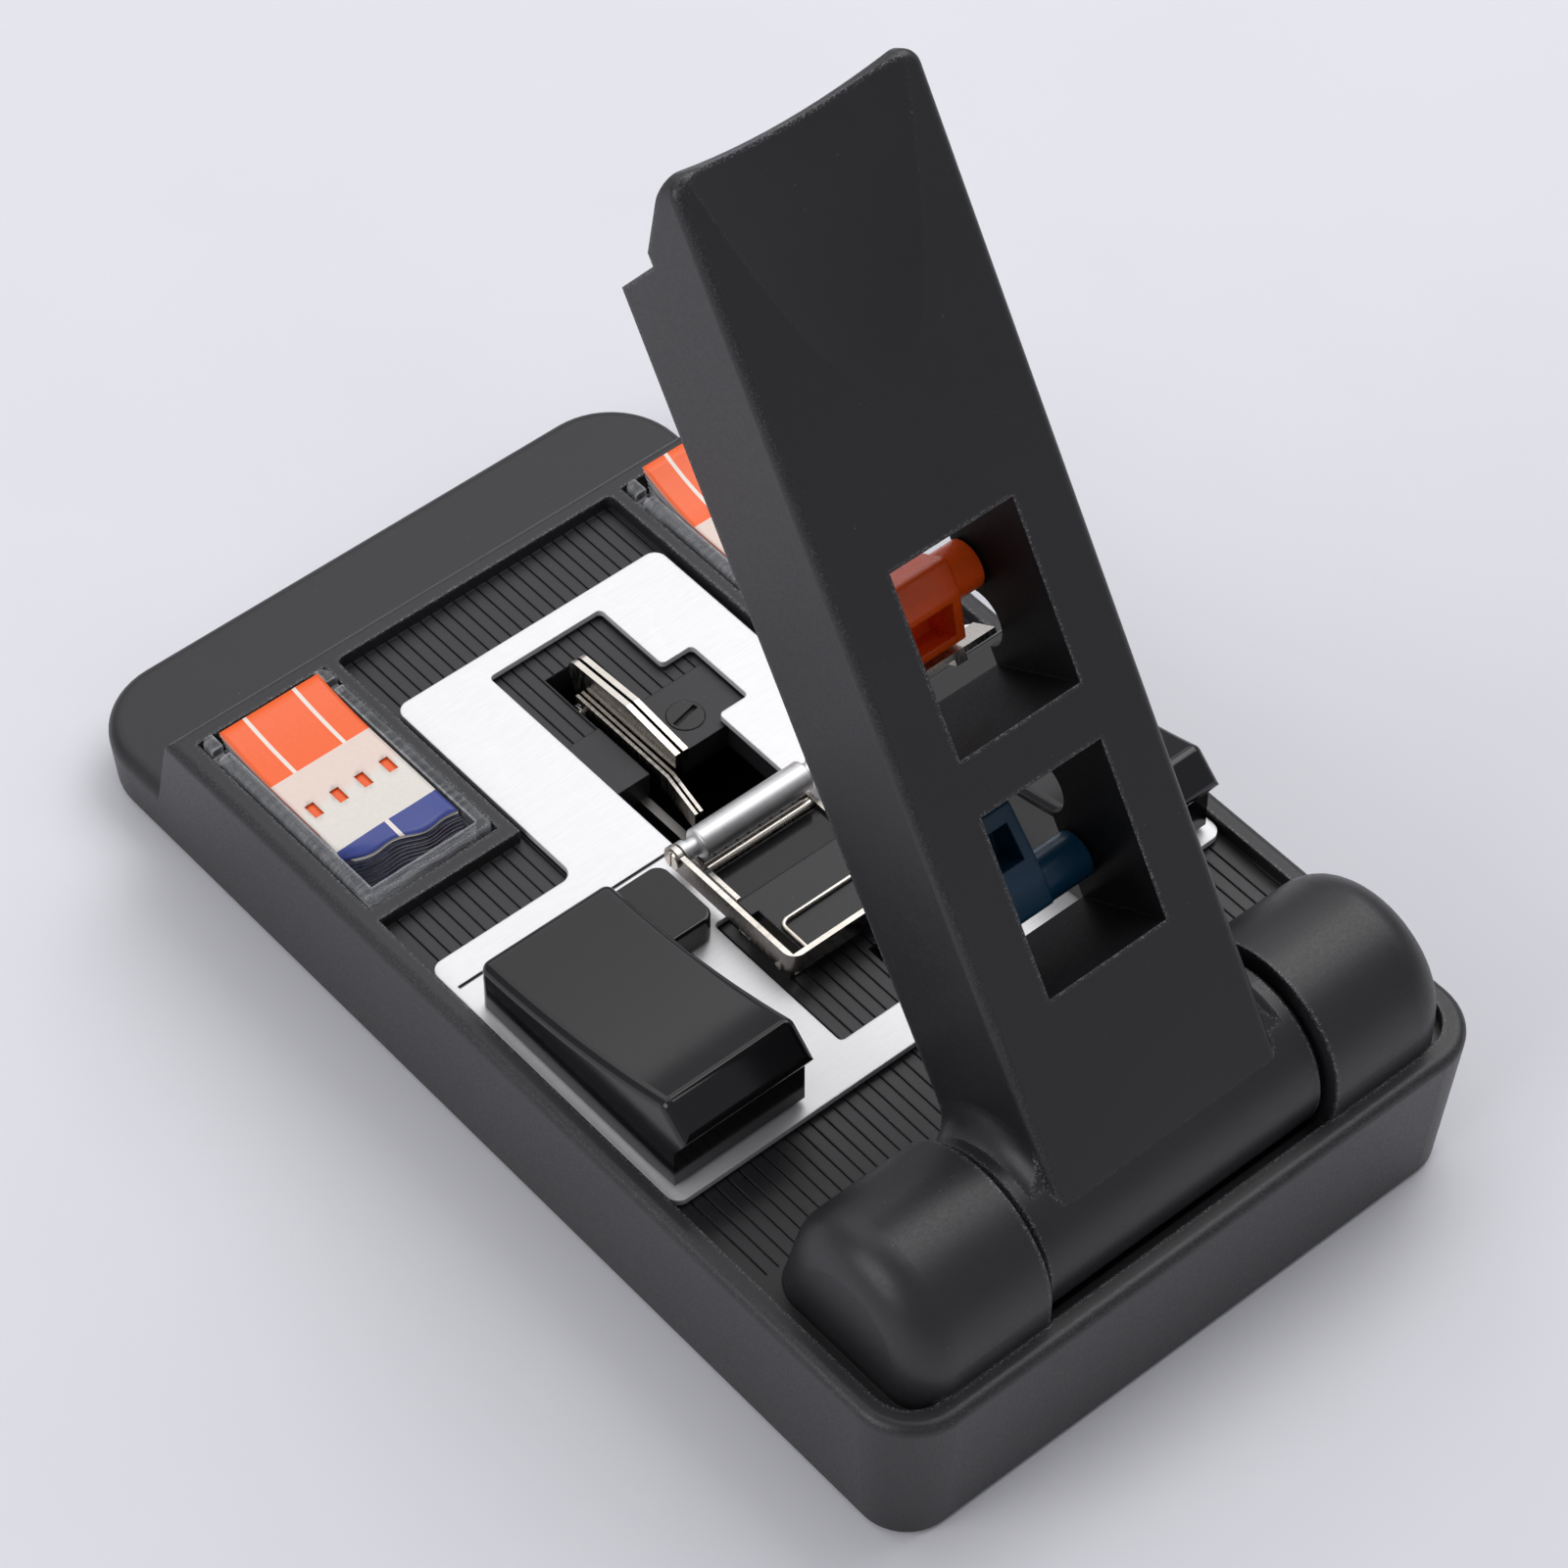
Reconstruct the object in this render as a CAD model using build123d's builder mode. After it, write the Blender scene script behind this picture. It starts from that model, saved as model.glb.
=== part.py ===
from build123d import *
import math
import os

os.makedirs("parts", exist_ok=True)

# Desktop film tape splicer. Millimetres, +Z up, +Y towards the lever's hinge, +X to the user's right.
# The origin is on the table, under the middle of the base.

# ---- driving dimensions -------------------------------------------------------------------------
base_width = 104.0
base_length = 179.2
rim_z = 26.6                 # top of the rim
rim_bulge_z = 25.0           # where the side walls stop leaning out
foot_height = 1.0            # the shell stands this far off the table
wall_draft = 4.5             # degrees the side walls lean outwards
wall = 2.4
corner_rear = 9.0
corner_front = 14.0
palm_z = 10.6                # top of the low palm rest
step_top_y = -63.2           # the sloping step between palm rest and deck
step_foot_y = -68.4
palm_edge = 2.2              # rounding of the palm rest's edge
rim_edge = 1.5
floor_z = 24.2               # ribbed floor of the well
ceiling_z = 20.0             # underside of the deck
well_half_width = 48.9
well_front_y = -60.4
well_rear_y = 86.3
groove_pitch = 2.0
groove_width = 0.25
groove_depth = 0.3

plate_top = 25.7
plate_thickness = 1.0
plate_bottom = plate_top - plate_thickness
plate_front_half = 23.6
plate_rear_half = 48.5
plate_front_y = -48.7
plate_shoulder_y = -9.5
plate_rear_y = 41.6
film_edge_y = -4.3           # front edge of the 8 mm film
film_pitch = 4.234           # perforation pitch of the film

tray_x = 37.7                # middle of a tape tray
tray_width = 21.6
tray_front_y = -60.2
tray_rear_y = -22.2
tray_floor_z = 21.5
tray_wall = 1.9
tray_floor = 0.9
tray_top = 27.6

hinge_y = 72.5               # lever hinge axis
hinge_z = 30.8
pod_radius = 14.2
pod_inner = 25.0             # the pods run from here outwards
pod_outer = 46.6
hinge_pin_radius = 2.5
running_gap = 0.06           # radial clearance of a running fit

lever_open = 58.2            # degrees of the open lever above the table
lever_half = 19.0
lever_top = 12.2             # outer face above the hinge axis, along the lever's normal
lever_bottom = -7.6          # lower edge of the side walls
lever_tip = 145.4            # along the lever from the hinge axis
lever_wall = 2.2
hub_radius = 12.6
hub_half = 24.2
window_half = 9.9
window_low = (28.8, 55.0)
window_high = (63.0, 88.9)

orange_axis = (78.0, -2.8)   # along the lever, above the hinge axis
blue_axis = (36.0, -2.3)
presser_boss = 3.4
presser_axle = 1.5

roller_y = -0.6
roller_z = 29.3
roller_radius = 2.3
roller_half = 9.6
roller_axle = 1.0
arm_half = 13.5              # outer face of the roller frame's arms
sheet = 0.8
frame_top = 30.6
frame_bottom = 27.2
frame_rear_y = 23.8
frame_pivot = (21.2, 27.4)

clamp_inner = 25.0
clamp_outer = 47.0
clamp_pivot = (36.0, 27.6)
clamp_pin_radius = 0.8
clamp_post_half = 1.3

finger_pivot = (-33.5, 22.8)

# hinge pods and the posts for the clamps
clamp_posts = [29.6, 42.4]
hub_slot_half = hub_half + 0.7
hub_slot_front_y = 56.5
hub_gap = 0.7
pod_skin = 2.2
pod_front_turn = 12           # degrees where the pod's round turns into its sloping front
pod_edge = 6.0

# openings, pads and lands of the deck
pit = ((-10.6, -17.6), (9.2, -3.8))          # the cutter pit's corners
finger_slot = ((-2.4, -40.4), (3.6, -17.0))
latch_hole = ((-9.0, 24.8), (1.0, 32.5))
flat_pad = ((-15.2, -28.6), (9.8, -17.6))
pad_rise = 0.2
land_spots = [(-18, -46), (18, -46), (-20, -14), (20, -14), (-45, -6), (45, -6), (-20, 38.6), (20, 38.6)]
land_radius = 1.8
screw_spot = (-7.0, -22.6)
screw_radius = 2.7

# bottom cover, its screws and the feet
cover_top = foot_height + 1.6
cover_screw_spots = [(-38, 48), (38, 48), (-41, -18), (41, -18), (-30, -78), (30, -78)]
cover_screw_depth = 7.0
screw_head_radius = 2.4
screw_head_height = 0.9
boss_radius = 3.2
thread_radius = 1.25
foot_spots = [(-40, 76), (40, 76), (-38, -76), (38, -76)]
foot_radius = 5.0
foot_sunk = 0.8
fit_gap = 0.2
cavity_front_y = -62.4

# deck plate and film pins
plate_corner = 2.0
cut_corner = 0.8
front_cut = ((-10.0, -44.8), (10.0, 12.0))
side_cut = ((-15.4, -31.2), (-9.0, -19.0))
cut_side = 11.6
rear_cut = ((-14.9, 9.3), (14.9, 35.2))
relief_y = clamp_pivot[0]
relief_length = 3.4
pin_line_y = 2.2
registration_x = [18.0, 18.0 + film_pitch]
registration_radius = 0.5
film_line_width = 0.5
film_line_depth = 0.3

# tape trays and tape
hook_length = 3.0
tray_lip = 0.7                # rounding of the trays' upper edges
stack_top = 28.0

# anvil and roller frame
anvil_half = 9.3
anvil_front_y = 2.2
anvil_rear_y = 9.0
anvil_rise = 1.4
bar_y = 1.0
bar_radius = 0.95
cheek_sheet = 0.7
frame_pin_radius = 0.6
bracket_rear_y = 22.2
bracket_screw_spots = [(8.7, 21.0), (-4.1, 21.0)]
block_half = 11.4
bail_half = 9.6
bail_front_y = 16.8
bail_z = 28.9
bail_wire = 0.35
bracket_front_y = 14.0
bracket_foot = 0.4            # thickness of the bracket's foot
bracket_gap = 0.3            # between bracket and frame arms
frame_corner = 2.0
block_front_y = 9.8
block_bottom = 26.0
block_top = 28.5

# film clamps
clamp_wall = 1.8
cap_front_top = (-0.4, 34.4)
cap_sag = (18.6, 36.4)
cap_rear_top = (37.3, 41.4)
cap_lip = (41.8, 37.3)
cap_undercut = (39.5, 33.2)
cap_bottom = 26.1
cap_rear_gap = 0.5            # the cap's rear edge dips this much when it rocks
cap_hollow = [(1.4, 25.0), (1.4, 32.4), (18.0, 34.2), (36.4, 38.6), (38.1, 36.0), (38.1, 25.0)]
cap_edge = 1.5
nose_end = 15.9
nose_front_y = -0.7
nose_rear_y = 11.2
nose_top = 30.6
nose_bottom = 26.45

# finger lever
finger_pin_radius = 0.7
finger_plate_x = [(-1.5, -0.6), (-0.1, 0.8)]
finger_outline = [(-38.6, 28.2), (-26.0, 29.1), (-15.4, 28.0), (-15.4, 25.4), (-24.0, 24.9), (-30.0, 21.4),
                  (-36.5, 21.4), (-38.6, 25.0)]
claw_line_x = [1.3, 2.2]
claw_route = [(0, -35.0), (0, -15.4), (1.4, -7.6)]
claw_low_z = 21.6
claw_top_z = 24.8

# lever
lever_edge = 1.3
hub_rim_edge = 0.7
hub_flare = 3.6              # reach of the blend from the hub onto the side walls
lever_wall_end = 130.0       # the deep side walls stop here
lever_step_start = 133.4
lever_step_end = 135.2
lever_step_h = 1.4
hollow_start = 14.5
scoop_radius = 58.0
scoop_depth = 2.4
scoop_length = 34.0
tip_hollow = 2.2
tip_corner = 2.6
rib = 1.4
rib_bottom = -5.0
spring_room_half = 9.0
spring_room_radius = 6.4

# pressers
presser_half = 9.5
orange_body = (-5.0, 9.5)    # X of the orange presser's two ends
orange_outline = [(81.6, 0.6), (77.0, 1.0), (69.9, -1.6), (69.4, -6.0), (69.4, -8.6), (74.6, -8.8), (77.0, -6.4),
                  (81.6, -5.0)]
blue_body_left = -2.0
blue_outline = [(33.6, 1.2), (38.0, 1.4), (48.6, -0.6), (48.8, -6.2), (44.4, -6.4), (37.0, -5.8), (33.0, -4.0)]


def save(piece, name):
    piece.part.label = name
    export_step(piece.part, f"parts/{name}.step")


def box_between(low, high, mode=Mode.ADD):
    """A box given by its lowest and highest corners."""
    size = [b - a for a, b in zip(low, high)]
    middle = [(a + b) / 2 for a, b in zip(low, high)]
    with Locations(tuple(middle)):
        Box(*size, mode=mode)


def rod(x_low, x_high, y, z, radius, mode=Mode.ADD):
    """A round bar along X."""
    with Locations(Plane(origin=((x_low + x_high) / 2, y, z), z_dir=(1, 0, 0))):
        Cylinder(radius, x_high - x_low, mode=mode)


lever_dir = (0, -math.cos(math.radians(lever_open)), math.sin(math.radians(lever_open)))
lever_normal = (0, math.sin(math.radians(lever_open)), math.cos(math.radians(lever_open)))
lever_plane = Plane(origin=(0, hinge_y, hinge_z), x_dir=lever_dir, z_dir=(-1, 0, 0))


def on_lever(along, above):
    """Y and Z of a point given along the open lever and above its hinge axis."""
    point = lever_plane.from_local_coords((along, above, 0))
    return point.Y, point.Z


def lever_box(s_low, s_high, h_low, h_high, x_low, x_high, mode=Mode.ADD):
    """A box square to the open lever."""
    middle_local = ((s_low + s_high) / 2, (h_low + h_high) / 2, -(x_low + x_high) / 2)
    middle = lever_plane.from_local_coords(middle_local)
    with Locations(Plane(origin=middle, x_dir=lever_dir, z_dir=(-1, 0, 0))):
        Box(s_high - s_low, h_high - h_low, x_high - x_low, mode=mode)


def torsion_spring(x_low, x_high, y, z, coil_radius, wire_radius, turns):
    """A wound spring round an X axis."""
    length = x_high - x_low - 2 * wire_radius
    with BuildPart() as coil:
        with BuildLine() as winding:
            Helix(length / turns, length, coil_radius, center=(x_low + wire_radius, y, z), direction=(1, 0, 0))
        with BuildSketch(Plane(origin=winding.line @ 0, z_dir=winding.line % 0)):
            Circle(wire_radius)
        sweep(path=winding.line)
    return coil


# ---- base shell ---------------------------------------------------------------------------------
bulge_rise = rim_bulge_z - foot_height
lean = math.tan(math.radians(wall_draft))
foot_half_width = base_width / 2 - bulge_rise * lean
foot_rear_y = base_length / 2 - bulge_rise * lean
foot_front_y = -base_length / 2 + (palm_z - palm_edge - foot_height) * lean
rim_front_y = foot_front_y - bulge_rise * lean
above = 40.0                 # cutters reach this far past the top of the base
grooves = int(2 * well_half_width / groove_pitch) - 1
pocket_outer = tray_x + tray_width / 2 + 0.2
pocket_inner = tray_x - tray_width / 2 - 0.2
ridge_inner = pocket_inner - 2.0
ridge_rear_y = tray_rear_y + 2.6
cavity_half = foot_half_width - wall
cavity_rear_y = foot_rear_y - wall
palm_cavity_half = cavity_half - 3
palm_cavity_front_y = foot_front_y + wall + 1


def outline(half_width, front_y, rear_y, shrink):
    """The base's rounded outline, used inside a sketch."""
    with Locations((0, (front_y + rear_y) / 2)):
        Rectangle(2 * half_width, rear_y - front_y)
    fillet(vertices().group_by(Axis.Y)[0], corner_front - shrink)
    fillet(vertices().group_by(Axis.Y)[-1], corner_rear - shrink)


with BuildPart() as pod:
    with BuildSketch(Plane.YZ.offset(pod_inner)):
        with BuildLine():
            tangent_rear = (hinge_y + pod_radius, hinge_z)
            tangent_front = (hinge_y - pod_radius * math.cos(math.radians(pod_front_turn)),
                             hinge_z + pod_radius * math.sin(math.radians(pod_front_turn)))
            ThreePointArc(tangent_rear, (hinge_y, hinge_z + pod_radius), tangent_front)
            Polyline(tangent_front, (hinge_y - pod_radius - 2.0, floor_z - groove_depth),
                     (hinge_y + pod_radius, floor_z - groove_depth), tangent_rear)
        make_face()
    extrude(amount=pod_outer - pod_inner)
    outer_face = faces().filter_by(Axis.X).sort_by(Axis.X)[-1]
    fillet(outer_face.edges().filter_by(lambda e: e.center().Z > floor_z), pod_edge)

with BuildPart() as base_shell:
    with BuildSketch(Plane.XY.offset(foot_height)):
        outline(foot_half_width, foot_front_y, foot_rear_y, bulge_rise * lean)
    extrude(amount=bulge_rise, taper=-wall_draft)
    with BuildSketch(Plane.XY.offset(rim_bulge_z)):
        outline(base_width / 2, rim_front_y, base_length / 2, 0)
    extrude(amount=rim_z - rim_bulge_z)
    with BuildSketch(Plane.YZ):
        with BuildLine():
            Polyline((step_top_y, rim_z), (step_foot_y, palm_z), (-base_length, palm_z),
                     (-base_length, rim_z + 1), (step_top_y, rim_z + 1), close=True)
        make_face()
    extrude(amount=base_width, both=True, mode=Mode.SUBTRACT)
    fillet(faces().sort_by(Axis.Z)[-1].outer_wire().edges(), rim_edge)
    palm_top = faces().filter_by(Plane.XY).sort_by(Axis.Z)[1]
    fillet(palm_top.outer_wire().edges().sort_by(Axis.Y)[:-1], palm_edge)
    # the well with its ribbed floor, and the pockets for the two tape trays
    with BuildSketch(Plane.XY.offset(rim_z)):
        with Locations((0, (well_front_y + well_rear_y) / 2)):
            Rectangle(2 * ridge_inner, well_rear_y - well_front_y)
        with Locations((0, (ridge_rear_y + well_rear_y) / 2)):
            Rectangle(2 * well_half_width, well_rear_y - ridge_rear_y)
        fillet(vertices().group_by(Axis.Y)[-1], corner_rear - 3)
        fillet(vertices().group_by(Axis.Y)[0], 1.0)
        fillet(vertices().group_by(Axis.Y)[1], 1.5)
    extrude(amount=floor_z - rim_z, mode=Mode.SUBTRACT)
    with BuildSketch(Plane.XY.offset(floor_z)):
        for number in range(grooves):
            groove_x = (number - (grooves - 1) / 2) * groove_pitch
            start_y = well_front_y if abs(groove_x) < ridge_inner - 0.4 else ridge_rear_y
            with Locations((groove_x, (start_y + hub_slot_front_y) / 2)):
                Rectangle(groove_width, hub_slot_front_y - start_y)
    extrude(amount=-groove_depth, mode=Mode.SUBTRACT)
    for side in (-1, 1):
        x_ends = sorted((side * pocket_inner, side * pocket_outer))
        box_between((x_ends[0], tray_front_y - 0.2, tray_floor_z), (x_ends[1], tray_rear_y + 0.2, above),
                    mode=Mode.SUBTRACT)
    # hollow underneath
    box_between((-cavity_half, cavity_front_y, 0), (cavity_half, cavity_rear_y, ceiling_z), mode=Mode.SUBTRACT)
    box_between((-palm_cavity_half, palm_cavity_front_y, 0), (palm_cavity_half, cavity_front_y, palm_z - wall),
                mode=Mode.SUBTRACT)
    # the two hinge pods, hollow, with a wall each side of the lever's hub
    add(pod.part)
    mirror(pod.part, about=Plane.YZ)
    for side in (-1, 1):
        with BuildSketch(Plane.YZ.offset(side * (pod_inner + pod_skin))):
            with Locations((hinge_y, hinge_z)):
                Circle(pod_radius - pod_skin)
            with Locations((hinge_y, (hinge_z + ceiling_z) / 2)):
                Rectangle(2 * (pod_radius - pod_skin), hinge_z - ceiling_z)
        extrude(amount=side * (pod_outer - pod_inner - pod_skin - 5), mode=Mode.SUBTRACT)
        rod(*sorted((side * (pod_inner - 1), side * (pod_inner + pod_skin + 1))), hinge_y, hinge_z,
            hinge_pin_radius, mode=Mode.SUBTRACT)
    rod(-hub_slot_half, hub_slot_half, hinge_y, hinge_z, hub_radius + hub_gap, mode=Mode.SUBTRACT)
    box_between((-hub_slot_half, hub_slot_front_y, 0), (hub_slot_half, hinge_y, above), mode=Mode.SUBTRACT)
    box_between((-hub_slot_half, hinge_y - 1, floor_z), (hub_slot_half, well_rear_y, above), mode=Mode.SUBTRACT)
    # raised lands under the deck plate, the flat pad round the screw, and posts for the clamps' pins
    with BuildSketch(Plane.XY.offset(floor_z - groove_depth)):
        with Locations(*land_spots):
            Circle(land_radius)
    extrude(amount=plate_bottom - floor_z + groove_depth)
    box_between((*flat_pad[0], floor_z - groove_depth), (*flat_pad[1], floor_z + pad_rise))
    for side in (-1, 1):
        for post_x in clamp_posts:
            box_between((side * post_x - 1, clamp_pivot[0] - clamp_post_half, floor_z - groove_depth),
                        (side * post_x + 1, clamp_pivot[0] + clamp_post_half, clamp_pivot[1] + 1.4))
            rod(side * post_x - 1, side * post_x + 1, *clamp_pivot, clamp_pin_radius, mode=Mode.SUBTRACT)
    # openings through the deck, and the adjusting screw's seat
    for low, high in (pit, finger_slot, latch_hole):
        box_between((*low, ceiling_z - 1), (*high, above), mode=Mode.SUBTRACT)
    with Locations((*screw_spot, floor_z)):
        Cylinder(screw_radius + running_gap, 12, mode=Mode.SUBTRACT)
    rod(finger_slot[0][0] - 1.5, finger_slot[1][0] + 1.5, *finger_pivot, finger_pin_radius, mode=Mode.SUBTRACT)
    # screw bosses for the bottom cover
    for spot_x, spot_y in cover_screw_spots:
        boss_top = ceiling_z + 0.5 if spot_y > step_foot_y else palm_z - wall + 0.5
        with Locations((spot_x, spot_y, (cover_top + boss_top) / 2)):
            Cylinder(boss_radius, boss_top - cover_top)
        with Locations((spot_x, spot_y, cover_top)):
            Cylinder(thread_radius, 2 * cover_screw_depth, mode=Mode.SUBTRACT)
save(base_shell, "base_shell")

# ---- bottom cover, its screws and the feet --------------------------------------------------------
with BuildPart() as base_cover:
    with BuildSketch(Plane.XY.offset(foot_height)):
        with Locations((0, (cavity_front_y + cavity_rear_y) / 2)):
            Rectangle(2 * (cavity_half - fit_gap), cavity_rear_y - cavity_front_y - 2 * fit_gap)
        with Locations((0, (palm_cavity_front_y + cavity_front_y) / 2 + 1)):
            Rectangle(2 * (palm_cavity_half - fit_gap),
                      cavity_front_y - palm_cavity_front_y + 2 - 2 * fit_gap)
    extrude(amount=cover_top - foot_height)
    with Locations(*[(x, y, foot_height) for x, y in cover_screw_spots]):
        Cylinder(thread_radius + 0.25, 8, mode=Mode.SUBTRACT)
        Cylinder(screw_head_radius + 0.2, 2 * screw_head_height, mode=Mode.SUBTRACT)
    with Locations(*[(x, y, foot_height) for x, y in foot_spots]):
        Cylinder(foot_radius, 2 * foot_sunk, mode=Mode.SUBTRACT)
save(base_cover, "base_cover")

with BuildPart() as cover_screws:
    for spot_x, spot_y in cover_screw_spots:
        with Locations((spot_x, spot_y, foot_height + screw_head_height / 2)):
            Cylinder(screw_head_radius, screw_head_height)
        with Locations((spot_x, spot_y, foot_height + cover_screw_depth / 2)):
            Cylinder(thread_radius, cover_screw_depth)
        with Locations((spot_x, spot_y, foot_height)):
            Box(3.6, 0.8, 0.8, mode=Mode.SUBTRACT)
            Box(0.8, 3.6, 0.8, mode=Mode.SUBTRACT)
save(cover_screws, "cover_screws")

with BuildPart() as rubber_feet:
    with BuildSketch():
        with Locations(*foot_spots):
            Circle(foot_radius)
    extrude(amount=foot_height + foot_sunk)
    fillet(edges().group_by(Axis.Z)[0], 0.4)
save(rubber_feet, "rubber_feet")

# ---- deck plate -----------------------------------------------------------------------------------
with BuildPart() as deck_plate:
    with BuildSketch(Plane.XY.offset(plate_bottom)):
        with Locations((0, (plate_front_y + plate_shoulder_y) / 2)):
            Rectangle(2 * plate_front_half, plate_shoulder_y - plate_front_y)
        with Locations((0, (plate_shoulder_y + plate_rear_y) / 2)):
            Rectangle(2 * plate_rear_half, plate_rear_y - plate_shoulder_y)
        fillet(vertices(), plate_corner)
        for side in (-1, 1):
            with Locations((side * (clamp_inner + clamp_outer) / 2, relief_y)):
                Rectangle(clamp_outer - clamp_inner - 4.0, relief_length, mode=Mode.SUBTRACT)
    extrude(amount=plate_thickness)
    # one opening: the front cut-out with its step on the left, running back into the rear cut-out
    with BuildSketch(Plane.XY.offset(plate_bottom)):
        for low, high in (front_cut, side_cut, rear_cut):
            with Locations(((low[0] + high[0]) / 2, (low[1] + high[1]) / 2)):
                Rectangle(high[0] - low[0], high[1] - low[1])
        fillet(vertices(), cut_corner)
    extrude(amount=plate_thickness, mode=Mode.SUBTRACT)
    for side in (-1, 1):
        x_ends = sorted((side * cut_side, side * (plate_rear_half - 1)))
        box_between((x_ends[0], film_edge_y - film_line_width / 2, plate_top - film_line_depth),
                    (x_ends[1], film_edge_y + film_line_width / 2, plate_top + 1), mode=Mode.SUBTRACT)
        with Locations(*[(side * x, pin_line_y, plate_bottom) for x in registration_x]):
            Cylinder(registration_radius, 4, mode=Mode.SUBTRACT)
save(deck_plate, "deck_plate")

with BuildPart() as registration_pins:
    with BuildSketch(Plane.XY.offset(plate_bottom)):
        with Locations(*[(side * x, pin_line_y) for side in (-1, 1) for x in registration_x]):
            Circle(registration_radius)
    extrude(amount=plate_thickness + 0.4)
save(registration_pins, "registration_pins")

# ---- tape trays and the tape strips in them -------------------------------------------------------
for side, hand in ((1, "right"), (-1, "left")):
    with BuildPart() as tape_tray:
        middle_x = side * tray_x
        box_between((middle_x - tray_width / 2, tray_front_y, tray_floor_z),
                    (middle_x + tray_width / 2, tray_rear_y, tray_top))
        fillet(edges().filter_by(Axis.Z), 1.4)
        fillet(faces().sort_by(Axis.Z)[-1].edges(), tray_lip)
        box_between((middle_x - tray_width / 2 + tray_wall, tray_front_y - 2, tray_floor_z + tray_floor),
                    (middle_x + tray_width / 2 - tray_wall, tray_rear_y - tray_wall, above), mode=Mode.SUBTRACT)
        box_between((middle_x - tray_width, tray_front_y + hook_length, rim_z - 0.6),
                    (middle_x + tray_width, tray_front_y + hook_length + 1.6, above), mode=Mode.SUBTRACT)
    save(tape_tray, f"tape_tray_{hand}")
    with BuildPart() as tape_stack:
        box_between((middle_x - 2 * film_pitch - 0.1, tray_front_y + 1.6, tray_floor_z + tray_floor),
                    (middle_x + 2 * film_pitch + 0.1, tray_rear_y - 3.2, stack_top))
    save(tape_stack, f"tape_stack_{hand}")

# ---- anvil under the roller ------------------------------------------------------------------------
with BuildPart() as anvil_block:
    box_between((-anvil_half, anvil_front_y, floor_z), (anvil_half, anvil_rear_y, floor_z + anvil_rise))
    fillet(edges().filter_by(Axis.X).group_by(Axis.Z)[-1], 0.5)
save(anvil_block, "anvil_block")

with BuildPart() as anvil_bar:
    rod(-anvil_half, anvil_half, bar_y, floor_z + bar_radius, bar_radius)
save(anvil_bar, "anvil_bar")

with BuildPart() as anvil_cheeks:
    for side in (-1, 1):
        x_ends = sorted((side * (anvil_half + 0.02), side * (anvil_half + cheek_sheet)))
        box_between((x_ends[0], -1.4, floor_z), (x_ends[1], 8.4, plate_top + 0.6))
save(anvil_cheeks, "anvil_cheeks")

# ---- roller frame ----------------------------------------------------------------------------------
arm_inner = arm_half - sheet
with BuildPart() as frame_bracket:
    for side in (-1, 1):
        x_ends = sorted((side * (arm_inner - bracket_gap - sheet), side * (arm_inner - bracket_gap)))
        box_between((x_ends[0], bracket_front_y, floor_z), (x_ends[1], bracket_rear_y, frame_pivot[1] + 1.0))
    box_between((-arm_inner + 0.4, bracket_front_y - 2.5, floor_z),
                (arm_inner - 0.4, bracket_rear_y, floor_z + bracket_foot))
    rod(-arm_half, arm_half, *frame_pivot, frame_pin_radius, mode=Mode.SUBTRACT)
    with Locations(*[(x, y, floor_z) for x, y in bracket_screw_spots]):
        Cylinder(0.8, 3, mode=Mode.SUBTRACT)
save(frame_bracket, "frame_bracket")

with BuildPart() as bracket_screws:
    for spot_x, spot_y in bracket_screw_spots:
        with Locations((spot_x, spot_y, floor_z + bracket_foot + 0.2)):
            Cylinder(1.4, 0.4)
        with Locations((spot_x, spot_y, floor_z + bracket_foot / 2)):
            Cylinder(0.8, bracket_foot)
save(bracket_screws, "bracket_screws")

with BuildPart() as frame_pivots:
    for side in (-1, 1):
        x_ends = sorted((side * (arm_inner - bracket_gap - sheet), side * (arm_half + 0.3)))
        rod(*x_ends, *frame_pivot, frame_pin_radius)
save(frame_pivots, "frame_pivots")

with BuildPart() as roller_frame:
    with BuildSketch(Plane.XY.offset(frame_bottom)):
        with Locations((0, (frame_rear_y + roller_y) / 2)):
            Rectangle(2 * arm_half, frame_rear_y - roller_y)
        fillet(vertices().group_by(Axis.Y)[-1], frame_corner)
        with Locations((0, (frame_rear_y - sheet + roller_y) / 2 - 1)):
            Rectangle(2 * arm_inner, frame_rear_y - sheet - roller_y + 2, mode=Mode.SUBTRACT)
    extrude(amount=frame_top - frame_bottom)
    for side in (-1, 1):
        x_ends = sorted((side * arm_inner, side * arm_half))
        rod(*x_ends, roller_y, roller_z - 0.2, 2.0)
        rod(*x_ends, roller_y, roller_z, roller_axle, mode=Mode.SUBTRACT)
        rod(*x_ends, *frame_pivot, frame_pin_radius + running_gap, mode=Mode.SUBTRACT)
save(roller_frame, "roller_frame")

with BuildPart() as roller_axle_pin:
    rod(-arm_half, arm_half, roller_y, roller_z, roller_axle)
    for side in (-1, 1):
        rod(*sorted((side * arm_half, side * (arm_half + 0.5))), roller_y, roller_z, 1.4)
        with Locations((side * (arm_half + 0.5), roller_y, roller_z)):
            Box(0.5, 0.4, 3, mode=Mode.SUBTRACT)
save(roller_axle_pin, "roller_axle")

with BuildPart() as press_roller:
    rod(-roller_half, roller_half, roller_y, roller_z, roller_radius)
    fillet(edges().group_by(Axis.X)[0] + edges().group_by(Axis.X)[-1], 0.4)
    for side in (-1, 1):
        rod(*sorted((side * roller_half, side * (arm_inner - 0.4))), roller_y, roller_z, 1.45)
        rod(*sorted((side * (arm_inner - 1.4), side * (arm_inner - 0.4))), roller_y, roller_z, 1.75)
    rod(-arm_half, arm_half, roller_y, roller_z, roller_axle + running_gap, mode=Mode.SUBTRACT)
save(press_roller, "press_roller")

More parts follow.
